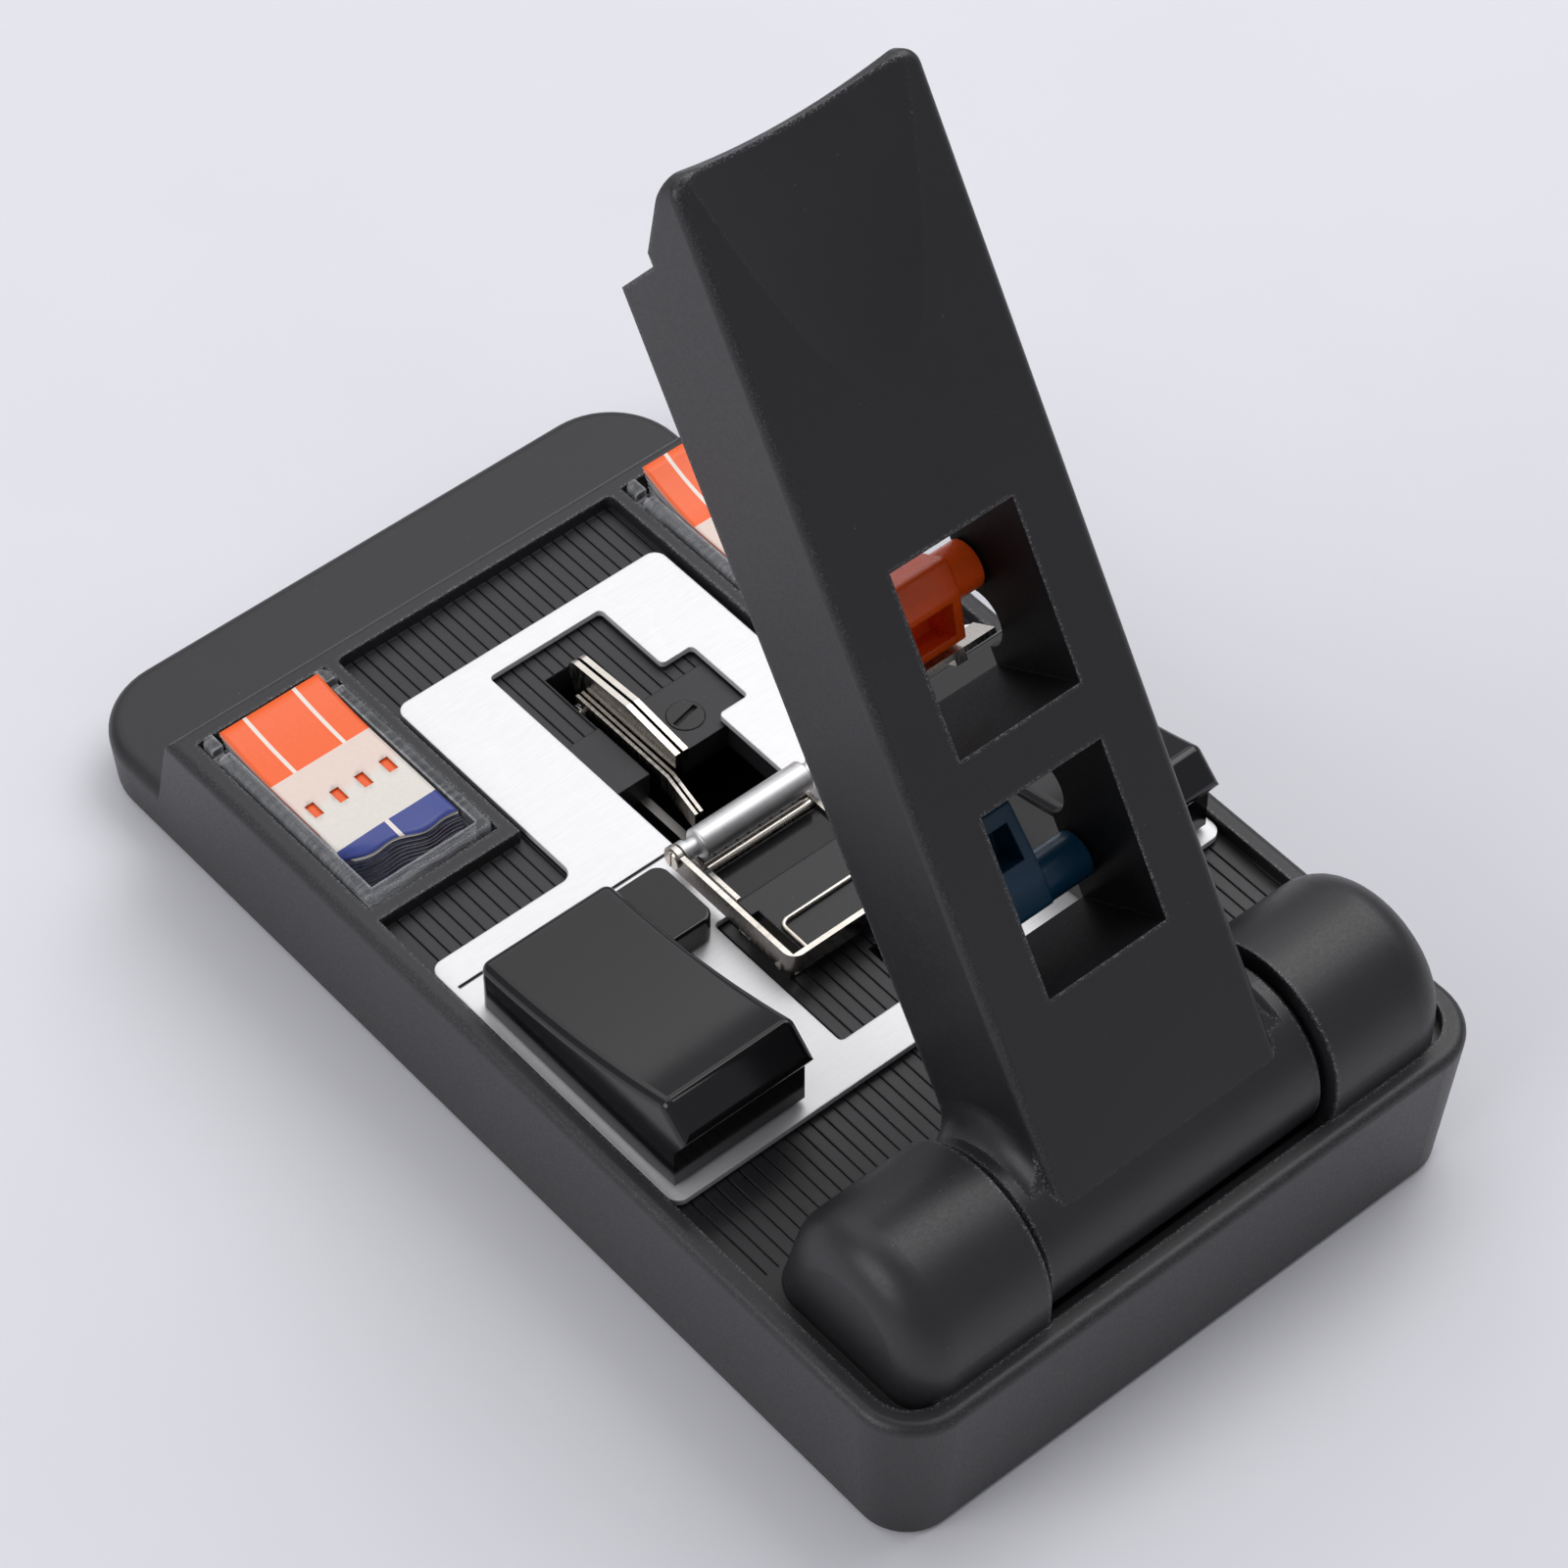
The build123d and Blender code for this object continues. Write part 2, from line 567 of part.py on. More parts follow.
with BuildPart() as pressure_block:
    box_between((-block_half, block_front_y, block_bottom), (block_half, frame_rear_y - sheet, block_top))
    fillet(edges().filter_by(Axis.X).sort_by(Axis.Y)[:2], 0.6)
    for side in (-1, 1):
        x_ends = sorted((side * (block_half - 1.2), side * (block_half + 1)))
        box_between((x_ends[0], block_front_y + 3.2, block_bottom - 1),
                    (x_ends[1], frame_rear_y - sheet - 0.2, block_top + 1), mode=Mode.SUBTRACT)
save(pressure_block, "pressure_block")

with BuildPart() as wire_bail:
    with BuildLine():
        FilletPolyline((-bail_half, frame_rear_y - sheet, bail_z), (-bail_half, bail_front_y, bail_z),
                       (bail_half, bail_front_y, bail_z), (bail_half, frame_rear_y - sheet, bail_z), radius=1.2)
    with BuildSketch(Plane(origin=(-bail_half, frame_rear_y - sheet, bail_z), z_dir=(0, -1, 0))):
        Circle(bail_wire)
    sweep()
save(wire_bail, "wire_bail")

# ---- film clamps -----------------------------------------------------------------------------------
for side, hand in ((1, "right"), (-1, "left")):
    outer_ends = sorted((side * clamp_inner, side * clamp_outer))
    inner_ends = sorted((side * (clamp_inner + clamp_wall), side * (clamp_outer - clamp_wall)))
    with BuildPart() as film_clamp:
        with BuildSketch(Plane.YZ.offset(outer_ends[0])):
            with BuildLine():
                ThreePointArc(cap_front_top, cap_sag, cap_rear_top)
                Polyline(cap_rear_top, cap_lip, cap_undercut, (cap_undercut[0] + 0.1, cap_bottom + cap_rear_gap),
                         (clamp_pivot[0] - 2, cap_bottom), (cap_front_top[0], cap_bottom), cap_front_top)
            make_face()
        extrude(amount=clamp_outer - clamp_inner)
        upper_edges = edges().filter_by(lambda e: (e @ 0.5).Z > cap_bottom + 4)
        fillet(upper_edges.filter_by(lambda e: (e @ 0.5).Y < 39 or (e @ 0.5).Z > 36.5), cap_edge)
        with BuildSketch(Plane.YZ.offset(inner_ends[0])):
            with BuildLine():
                Polyline(*cap_hollow, close=True)
            make_face()
        extrude(amount=inner_ends[1] - inner_ends[0], mode=Mode.SUBTRACT)
        nose_ends = sorted((side * nose_end, side * (clamp_inner + 0.5)))
        with BuildSketch(Plane.XY.offset(nose_bottom)):
            with Locations(((nose_ends[0] + nose_ends[1]) / 2, (nose_front_y + nose_rear_y) / 2)):
                Rectangle(nose_ends[1] - nose_ends[0], nose_rear_y - nose_front_y)
            fillet(vertices().group_by(Axis.X)[0 if side > 0 else -1], 2.0)
        extrude(amount=nose_top - nose_bottom)
        nose_edges = edges().filter_by(lambda e: abs((e @ 0.5).Z - nose_top) < 0.01)
        fillet(nose_edges.filter_by(lambda e: abs((e @ 0.5).X) < clamp_inner - 0.1), 0.5)
        rod(outer_ends[0] + 0.7, outer_ends[1] - 0.7, *clamp_pivot, clamp_pin_radius + running_gap,
            mode=Mode.SUBTRACT)
    save(film_clamp, f"film_clamp_{hand}")
    with BuildPart() as clamp_pin:
        rod(outer_ends[0] + 0.9, outer_ends[1] - 0.9, *clamp_pivot, clamp_pin_radius)
    save(clamp_pin, f"clamp_pin_{hand}")

# ---- finger lever ------------------------------------------------------------------------------------
with BuildPart() as finger_plates:
    for plate_low, plate_high in finger_plate_x:
        with BuildSketch(Plane.YZ.offset(plate_low)):
            with BuildLine():
                Polyline(*finger_outline, close=True)
            make_face()
            fillet(vertices().group_by(Axis.X)[0], 1.6)
        extrude(amount=plate_high - plate_low)
    rod(finger_plate_x[0][0] - 1, finger_plate_x[-1][1] + 1, *finger_pivot, finger_pin_radius + running_gap,
        mode=Mode.SUBTRACT)
save(finger_plates, "finger_plates")

with BuildPart() as finger_claws:
    for claw_x in claw_line_x:
        with BuildSketch(Plane.XY.offset(claw_low_z)):
            with BuildLine():
                Polyline(*[(x + claw_x, y) for x, y in claw_route])
            trace(line_width=0.5)
        extrude(amount=claw_top_z - claw_low_z)
    rod(-3, 5, *finger_pivot, finger_pin_radius + running_gap, mode=Mode.SUBTRACT)
save(finger_claws, "finger_claws")

with BuildPart() as finger_pin:
    rod(finger_slot[0][0] - 1.5, finger_slot[1][0] + 1.5, *finger_pivot, finger_pin_radius)
save(finger_pin, "finger_pin")

finger_spring = torsion_spring(2.55, 3.5, *finger_pivot, 1.25, 0.17, 1.5)
save(finger_spring, "finger_spring")

with BuildPart() as guide_strip:
    box_between((4.0, -24.0, ceiling_z - 0.5), (5.4, -6.0, ceiling_z - 0.02))
save(guide_strip, "guide_strip")

with BuildPart() as adjust_screw:
    with Locations((*screw_spot, floor_z + pad_rise + 0.1 - 1.6)):
        Cylinder(screw_radius, 3.2)
    with Locations((*screw_spot, ceiling_z - 0.5)):
        Cylinder(1.4, 7)
    with Locations((*screw_spot, ceiling_z - 2.0)):
        Cylinder(3.6, 1.2)
    with Locations(Plane(origin=(*screw_spot, floor_z + pad_rise), x_dir=(1, 0.2, 0))):
        Box(4.6, 0.8, 1.2, mode=Mode.SUBTRACT)
save(adjust_screw, "adjust_screw")

# ---- lever shell -------------------------------------------------------------------------------------
with BuildPart() as hub_blend:
    with BuildSketch(Plane(origin=(0, hinge_y, hinge_z), x_dir=(1, 0, 0), z_dir=(0, 0, -1))):
        with BuildLine():
            Polyline((lever_half - 1, 0), (hub_half - 0.8, 0), (hub_half - 0.8, hub_radius - 0.2))
            RadiusArc((hub_half - 0.8, hub_radius - 0.2), (lever_half, hub_radius + hub_flare), hub_flare + 0.6)
            Polyline((lever_half, hub_radius + hub_flare), (lever_half - 1, hub_radius + hub_flare),
                     (lever_half - 1, 0))
        make_face()
    revolve(axis=Axis((0, hinge_y, hinge_z), (1, 0, 0)))
    lever_box(6.0, 30.0, lever_bottom, lever_top - lever_edge, lever_half - 1, hub_half, mode=Mode.INTERSECT)

with BuildPart() as lever_shell:
    with BuildSketch(lever_plane):
        with BuildLine():
            Polyline((0, lever_top), (lever_tip, lever_top), (lever_tip - 0.6, lever_top - 2.4),
                     (lever_step_end, lever_step_h), (lever_step_start, lever_step_h),
                     (lever_wall_end, lever_bottom), (0, lever_bottom), (0, lever_top))
        make_face()
    extrude(amount=lever_half, both=True)
    # seen square to its face, the lever ends in a shallow hollow between two rounded corners
    face_plane = Plane(origin=(0, hinge_y, hinge_z), x_dir=lever_dir, z_dir=lever_normal)
    with BuildSketch(face_plane.offset(-lever_half)):
        with BuildLine():
            ThreePointArc((lever_tip, -lever_half), (lever_tip - tip_hollow, 0), (lever_tip, lever_half))
            Polyline((lever_tip, lever_half), (-lever_half, lever_half), (-lever_half, -lever_half),
                     (lever_tip, -lever_half))
        make_face()
        fillet(vertices().group_by(Axis.Z)[-1], tip_corner)
    extrude(amount=2 * lever_half, mode=Mode.INTERSECT)
    face_edges = edges().filter_by(lambda e: abs(lever_plane.to_local_coords(e @ 0.5).Y - lever_top) < 0.01)
    fillet(face_edges.filter_by(lambda e: lever_plane.to_local_coords(e @ 0.5).X > 1), lever_edge)
    # thumb scoop: a shallow trough across the face that fades out away from the tip
    scoop_middle = lever_plane.from_local_coords((lever_tip, lever_top + scoop_radius - scoop_depth, 0))
    scoop_axis = Vector(*lever_dir) * scoop_length - Vector(*lever_normal) * scoop_depth
    with Locations(Plane(origin=scoop_middle, x_dir=(1, 0, 0), z_dir=scoop_axis)):
        Cylinder(scoop_radius, 3 * scoop_length, mode=Mode.SUBTRACT)
    rod(-hub_half, hub_half, hinge_y, hinge_z, hub_radius)
    hub_rims = edges().filter_by(GeomType.CIRCLE).filter_by(lambda e: abs(abs(e.center().X) - hub_half) < 0.01)
    chamfer(hub_rims, hub_rim_edge)
    add(hub_blend.part)
    mirror(hub_blend.part, about=Plane.YZ)
    # the hollow underneath, shallower near the tip
    lever_box(hollow_start, lever_wall_end - lever_wall, lever_bottom - 9, lever_top - lever_wall,
              -lever_half + lever_wall, lever_half - lever_wall, mode=Mode.SUBTRACT)
    lever_box(lever_wall_end - lever_wall - 1, lever_tip - 7.5,
              lever_step_h - 9, lever_top - lever_wall - scoop_depth,
              -lever_half + lever_wall, lever_half - lever_wall, mode=Mode.SUBTRACT)
    # partitions and bearing ribs round the two windows
    for low, high in (window_low, window_high):
        lever_box(low - rib, low, rib_bottom, lever_top - 1, -lever_half + 1, lever_half - 1)
        for side in (-1, 1):
            x_ends = sorted((side * window_half, side * (window_half + rib)))
            lever_box(low - 0.5, high + 1.0, rib_bottom, lever_top - 1, *x_ends)
        lever_box(low, high, -2, lever_top + 5, -window_half, window_half, mode=Mode.SUBTRACT)
    for axis, notch in ((orange_axis, -8.2), (blue_axis, 9.6)):
        rod(-lever_half + 0.8, lever_half - 0.8, *on_lever(*axis), presser_axle, mode=Mode.SUBTRACT)
        rod(-window_half - rib, window_half + rib, *on_lever(axis[0] + notch, rib_bottom), 4.2,
            mode=Mode.SUBTRACT)
    # bore for the hinge pin, and the room for its spring
    rod(-hub_half - 1, hub_half + 1, hinge_y, hinge_z, hinge_pin_radius + running_gap, mode=Mode.SUBTRACT)
    rod(-spring_room_half, spring_room_half, hinge_y, hinge_z, spring_room_radius, mode=Mode.SUBTRACT)
save(lever_shell, "lever_shell")

with BuildPart() as hinge_pin:
    rod(-pod_inner - pod_skin - 0.8, pod_inner + pod_skin + 0.8, hinge_y, hinge_z, hinge_pin_radius)
    chamfer(edges(), 0.3)
save(hinge_pin, "hinge_pin")

lever_spring = torsion_spring(-spring_room_half + 0.5, spring_room_half - 0.5, hinge_y, hinge_z, 4.2, 0.7, 8.5)
save(lever_spring, "lever_spring")

for side, hand in ((1, "right"), (-1, "left")):
    clamp_spring = torsion_spring(*sorted((side * 32.4, side * 39.6)), *clamp_pivot, 1.35, 0.3, 6)
    save(clamp_spring, f"clamp_spring_{hand}")

# ---- pressers inside the lever -------------------------------------------------------------------------
for colour, axis in (("orange", orange_axis), ("blue", blue_axis)):
    with BuildPart() as presser_axle_pin:
        rod(-lever_half + 0.9, lever_half - 0.9, *on_lever(*axis), presser_axle)
    save(presser_axle_pin, f"{colour}_axle")
    spring_ends = (window_half + rib + 0.4, lever_half - lever_wall - 0.2)
    presser_spring = torsion_spring(*spring_ends, *on_lever(*axis), 2.2, 0.3, 5.5)
    save(presser_spring, f"{colour}_spring")

with BuildPart() as orange_presser:
    with BuildSketch(lever_plane):
        with BuildLine():
            Polyline(*orange_outline, close=True)
        make_face()
        fillet(vertices(), 0.8)
    extrude(amount=orange_body[1], both=True)
    lever_box(60, 90, -20, 20, -lever_half, orange_body[0], mode=Mode.SUBTRACT)
    rod(-presser_half, presser_half, *on_lever(*orange_axis), presser_boss)
    lever_box(71.2, 76.0, -6.5, 3, orange_body[0] + 1.4, 3.4, mode=Mode.SUBTRACT)
    lever_box(71.2, 76.0, -6.5, 3, 4.8, orange_body[1] - 1.4, mode=Mode.SUBTRACT)
    rod(-lever_half, lever_half, *on_lever(*orange_axis), presser_axle + running_gap, mode=Mode.SUBTRACT)
save(orange_presser, "orange_presser")

with BuildPart() as peel_blade:
    lever_box(68.3, 69.1, -6.2, -1.6, -presser_half, presser_half)
    lever_box(67.2, 68.4, -3.6, -1.9, -4.4, -2.6)
save(peel_blade, "peel_blade")

with BuildPart() as blue_presser:
    with BuildSketch(lever_plane):
        with BuildLine():
            Polyline(*blue_outline, close=True)
        make_face()
        fillet(vertices(), 0.8)
    extrude(amount=presser_half, both=True)
    lever_box(20, 60, -20, 20, -lever_half, blue_body_left, mode=Mode.SUBTRACT)
    rod(-presser_half, presser_half, *on_lever(*blue_axis), presser_boss)
    lever_box(41.0, 46.2, -4.6, 3, blue_body_left + 1.6, presser_half - 1.6, mode=Mode.SUBTRACT)
    rod(-lever_half, lever_half, *on_lever(*blue_axis), presser_axle + running_gap, mode=Mode.SUBTRACT)
save(blue_presser, "blue_presser")
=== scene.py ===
import math
import random

import bmesh
import bpy
from mathutils import Matrix, Vector


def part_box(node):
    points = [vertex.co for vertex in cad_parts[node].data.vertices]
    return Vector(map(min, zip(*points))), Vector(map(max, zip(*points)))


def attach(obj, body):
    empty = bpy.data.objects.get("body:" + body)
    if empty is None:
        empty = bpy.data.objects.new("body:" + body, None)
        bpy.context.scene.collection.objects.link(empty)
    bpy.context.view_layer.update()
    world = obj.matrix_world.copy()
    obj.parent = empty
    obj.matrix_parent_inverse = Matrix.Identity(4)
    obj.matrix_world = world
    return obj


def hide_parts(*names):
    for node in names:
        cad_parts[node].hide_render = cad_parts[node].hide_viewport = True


# Looks for a desktop film tape splicer.
# Metres, +Z up, +Y towards the lever's hinge, +X to the user's right.

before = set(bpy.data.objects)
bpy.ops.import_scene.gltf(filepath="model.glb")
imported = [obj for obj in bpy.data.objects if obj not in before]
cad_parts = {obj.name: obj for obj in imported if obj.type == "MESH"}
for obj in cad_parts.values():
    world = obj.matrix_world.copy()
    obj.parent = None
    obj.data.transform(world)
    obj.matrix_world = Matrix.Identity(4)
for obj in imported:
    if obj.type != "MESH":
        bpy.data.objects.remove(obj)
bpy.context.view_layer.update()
scene = bpy.context.scene
MM = 0.001

# the tape strips
PITCH = 4.234 * MM           # film perforations
STRIP_WIDTH = 4 * PITCH
STRIP_LENGTH = 31.2 * MM
STRIP_THICKNESS = 0.14 * MM
HOLE_WIDTH = 1.5 * MM
HOLE_LENGTH = 2.6 * MM
HOLE_AT = 0.593              # along the strip, from its front
PAPER_AT = 0.369             # where the orange print ends
BLUE_AT = 0.84               # where the blue print starts

# the scribed film line lies this far in front of the middle
FILM_LINE = 4.3 * MM

# the lever at rest: degrees above the table, and a point on its hinge axis
LEVER_OPEN = math.radians(58.2)
HINGE = Vector((0.0, 72.5 * MM, 30.8 * MM))


# ---- node helpers ---------------------------------------------------------------------------------

def new_material(name, **sockets):
    """A material with a Principled shader, and its sockets set by name."""
    material = bpy.data.materials.new(name)
    material.use_nodes = True
    shader = material.node_tree.nodes["Principled BSDF"]
    for key, value in sockets.items():
        shader.inputs[key.replace("_", " ")].default_value = value
    return material


def add_node(material, kind, inputs, **settings):
    """A node whose inputs are given as numbers, colours or other nodes' outputs."""
    node = material.node_tree.nodes.new(kind)
    for key, value in settings.items():
        setattr(node, key, value)
    for key, value in inputs.items():
        if isinstance(value, bpy.types.NodeSocket):
            material.node_tree.links.new(value, node.inputs[key])
        else:
            node.inputs[key].default_value = value
    return node


def feed(material, socket, output):
    """Links an output to one of the shader's sockets."""
    shader = material.node_tree.nodes["Principled BSDF"]
    material.node_tree.links.new(output, shader.inputs[socket])


def place(material, scale=(1, 1, 1)):
    """The surface's own coordinates in metres, stretched by scale."""
    source = add_node(material, "ShaderNodeTexCoord", {})
    inputs = {"Vector": source.outputs["Object"], "Scale": scale}
    return add_node(material, "ShaderNodeMapping", inputs).outputs[0]


def noise(material, vector, scale, detail=3.0, rough=0.55):
    node = add_node(material, "ShaderNodeTexNoise",
                    {"Vector": vector, "Scale": scale, "Detail": detail, "Roughness": rough})
    return node.outputs["Fac"]


def remap(material, value, from_low, from_high, to_low, to_high):
    inputs = {"Value": value, "From Min": from_low, "From Max": from_high,
              "To Min": to_low, "To Max": to_high}
    return add_node(material, "ShaderNodeMapRange", inputs).outputs["Result"]


def math_node(material, operation, first, second):
    return add_node(material, "ShaderNodeMath", {0: first, 1: second}, operation=operation).outputs[0]


def mix_colour(material, factor, first, second):
    node = material.node_tree.nodes.new("ShaderNodeMix")
    node.data_type = "RGBA"
    for index, value in ((0, factor), (6, first), (7, second)):
        if isinstance(value, bpy.types.NodeSocket):
            material.node_tree.links.new(value, node.inputs[index])
        else:
            node.inputs[index].default_value = value
    return node.outputs[2]


def edge_mask(material, radius):
    """1 along the sharp edges of a surface, 0 on its flat parts."""
    soft = add_node(material, "ShaderNodeBevel", {"Radius": radius}, samples=4)
    true = add_node(material, "ShaderNodeNewGeometry", {})
    dot = add_node(material, "ShaderNodeVectorMath", {0: soft.outputs[0], 1: true.outputs["Normal"]},
                   operation="DOT_PRODUCT").outputs["Value"]
    return remap(material, dot, 1.0, 0.9, 0.0, 1.0)


def bumps(material, heights, edge_radius=None):
    """Bump layers of (height, strength, distance), over the surface's normal or over rounded edges."""
    normal = None
    if edge_radius:
        normal = add_node(material, "ShaderNodeBevel", {"Radius": edge_radius}, samples=4).outputs[0]
    for height, strength, distance in heights:
        inputs = {"Height": height, "Strength": strength, "Distance": distance}
        if normal:
            inputs["Normal"] = normal
        normal = add_node(material, "ShaderNodeBump", inputs).outputs[0]
    feed(material, "Normal", normal)


# ---- materials ------------------------------------------------------------------------------------

def moulded_black(name, colour, roughness, grain, edge_highlight, edge_radius, plain_below=None):
    """Satin moulded plastic: fine grain, slight unevenness, and painted highlight specks along the edges,
    where light catches them.

    Below the height plain_below the edges carry no painted highlight specks."""
    material = new_material(name, IOR=1.5, Specular_IOR_Level=0.5)
    where = place(material)
    cloud = noise(material, where, 38.0)
    fine = noise(material, where, 2600.0, 2.0)
    specks = noise(material, where, 3900.0, 1.0)
    # painted highlight: bright specks along the rounded edges stand in for light catching them
    lit = math_node(material, "MULTIPLY", edge_mask(material, edge_radius),
                    remap(material, specks, 0.52, 0.66, 0.03, 1.0))
    if plain_below:
        height = add_node(material, "ShaderNodeSeparateXYZ", {"Vector": where}).outputs[2]
        high_enough = remap(material, height, plain_below, plain_below + 0.0003, 0.0, 1.0)
        lit = math_node(material, "MULTIPLY", lit, high_enough)
    dust = remap(material, noise(material, where, 1500.0, 1.0), 0.79, 0.83, 0.0, 0.16)
    toned = mix_colour(material, remap(material, cloud, 0.3, 0.7, 0.0, 1.0),
                       (*[c * 0.9 for c in colour], 1), (*[c * 1.1 for c in colour], 1))
    # the painted edge highlights, joined with real dust specks, lighten the colour toward pale grey
    edge_highlights_and_dust = math_node(material, "MAXIMUM", math_node(material, "MULTIPLY", lit, edge_highlight), dust)
    highlighted_and_dusty = mix_colour(material, edge_highlights_and_dust, toned, (0.42, 0.41, 0.42, 1))
    feed(material, "Base Color", highlighted_and_dusty)
    feed(material, "Roughness", remap(material, fine, 0.3, 0.7, roughness - 0.05, roughness + 0.07))
    bumps(material, [(fine, grain, 0.00003)], 0.0003)
    return material


def gloss_black():
    """Polished black plastic with a faint ripple and a little fine dust."""
    material = new_material("gloss_black", IOR=1.5)
    where = place(material)
    ripple = noise(material, where, 90.0, 2.0)
    dust = remap(material, noise(material, where, 2200.0, 1.0), 0.79, 0.83, 0.0, 0.22)
    feed(material, "Base Color", mix_colour(material, dust, (0.006, 0.006, 0.0068, 1), (0.3, 0.3, 0.3, 1)))
    feed(material, "Roughness", remap(material, noise(material, where, 60.0), 0.3, 0.7, 0.10, 0.16))
    bumps(material, [(ripple, 0.035, 0.0002)])
    return material


def metal(name, colour, roughness, stretch, scratch=0.12, tint=None, upright_shade=None):
    """Metal with grain drawn out along one direction.

    tint is the colour of soft patches of tarnish, and the last argument a darker colour painted on steep,
    vertical faces as shade."""
    material = new_material(name, Metallic=1.0)
    where = place(material)
    grain = noise(material, place(material, stretch), 420.0, 1.0)
    cloud = noise(material, where, 150.0, 2.0, 0.4)
    shade = mix_colour(material, remap(material, grain, 0.25, 0.75, 0.0, 1.0),
                       (*[c * 0.95 for c in colour], 1), (*[min(c * 1.04, 1) for c in colour], 1))
    if tint:
        shade = mix_colour(material, remap(material, cloud, 0.45, 0.75, 0.0, 0.45), shade, (*tint, 1))
    if upright_shade:
        # painted shade: steep, vertical faces are darkened, as they catch less light
        facing = add_node(material, "ShaderNodeNewGeometry", {}).outputs["Normal"]
        rise = add_node(material, "ShaderNodeSeparateXYZ", {"Vector": facing}).outputs[2]
        steep_shade = remap(material, math_node(material, "ABSOLUTE", rise, 0.0), 0.35, 0.7, 0.75, 0.0)
        shade = mix_colour(material, steep_shade, shade, (*upright_shade, 1))
    feed(material, "Base Color", shade)
    uneven = remap(material, grain, 0.3, 0.7, roughness - scratch / 2, roughness + scratch)
    feed(material, "Roughness", uneven)
    bumps(material, [(grain, 0.02, 0.00001)])
    return material


def plate_metal():
    """The pale satin deck plate, with a fine brushed grain along X and a few light scratches."""
    material = new_material("deck_plate", Metallic=0.4, Specular_IOR_Level=0.5)
    brushed = noise(material, place(material, (1, 30, 1)), 260.0, 3.0)
    where = place(material)
    scratch = add_node(material, "ShaderNodeTexWave", {"Vector": where, "Scale": 35.0, "Distortion": 9.0,
                                                       "Detail": 2.0}).outputs["Fac"]
    marks = remap(material, scratch, 0.992, 1.0, 0.0, 0.1)
    base = mix_colour(material, remap(material, brushed, 0.3, 0.7, 0.0, 1.0),
                      (0.80, 0.79, 0.80, 1), (0.87, 0.86, 0.87, 1))
    scratched = mix_colour(material, marks, base, (0.96, 0.95, 0.95, 1))
    split = add_node(material, "ShaderNodeSeparateXYZ", {"Vector": where})
    off_line = math_node(material, "ABSOLUTE", math_node(material, "ADD", split.outputs[1], FILM_LINE), 0.0)
    in_line = math_node(material, "MULTIPLY", math_node(material, "LESS_THAN", off_line, 0.0003),
                        math_node(material, "LESS_THAN", split.outputs[2], 0.02566))
    feed(material, "Base Color", mix_colour(material, in_line, scratched, (0.05, 0.05, 0.055, 1)))
    feed(material, "Roughness", remap(material, brushed, 0.3, 0.7, 0.34, 0.46))
    bumps(material, [(brushed, 0.08, 0.00003)], 0.0003)
    return material


def coloured_plastic(name, colour, roughness):
    """Moulded plastic with slightly uneven colour and soft flow marks."""
    material = new_material(name, Specular_IOR_Level=0.5, Subsurface_Weight=0.06, Subsurface_Scale=0.0015)
    where = place(material)
    flow = noise(material, place(material, (1, 3, 1)), 160.0, 3.0)
    deep = (*[c * 0.82 for c in colour], 1)
    streaked = mix_colour(material, remap(material, flow, 0.3, 0.7, 0.0, 1.0), deep, (*colour, 1))
    feed(material, "Base Color", streaked)
    patches = noise(material, where, 420.0)
    feed(material, "Roughness", remap(material, patches, 0.3, 0.7, roughness - 0.05, roughness + 0.1))
    bumps(material, [(noise(material, where, 1500.0, 2.0), 0.12, 0.00003)], 0.0004)
    return material


def clear_plastic():
    """Thin clear styrene: see-through on its faces, with light scuffs, and a painted highlight along its
    edges, where it turns more opaque and pale.
    """
    material = new_material("clear_styrene", IOR=1.49, Specular_IOR_Level=0.7)
    where = place(material)
    scuffs = noise(material, place(material, (1, 6, 1)), 300.0, 3.0, 0.6)
    feed(material, "Base Color", mix_colour(material, remap(material, scuffs, 0.4, 0.8, 0.0, 1.0),
                                            (0.42, 0.43, 0.45, 1), (0.62, 0.63, 0.65, 1)))
    # scuffs make the film hazier; painted highlight: the edges grow more opaque so the pale grey shows as
    # bright rims
    scuffs_and_rim_highlight = math_node(material, "ADD", remap(material, scuffs, 0.45, 0.85, 0.16, 0.34),
                     math_node(material, "MULTIPLY", edge_mask(material, 0.0007), 0.5))
    feed(material, "Alpha", scuffs_and_rim_highlight)
    feed(material, "Roughness", remap(material, scuffs, 0.45, 0.8, 0.06, 0.2))
    bumps(material, [(noise(material, where, 240.0, 2.0), 0.04, 0.0001)])
    return material


def soft_rubber():
    material = new_material("foot_rubber", Specular_IOR_Level=0.3)
    where = place(material)
    grain = noise(material, where, 1500.0, 3.0)
    feed(material, "Base Color", mix_colour(material, grain, (0.018, 0.018, 0.018, 1),
                                            (0.045, 0.044, 0.042, 1)))
    feed(material, "Roughness", remap(material, grain, 0.3, 0.7, 0.7, 0.9))
    bumps(material, [(grain, 0.3, 0.00005)])
    return material


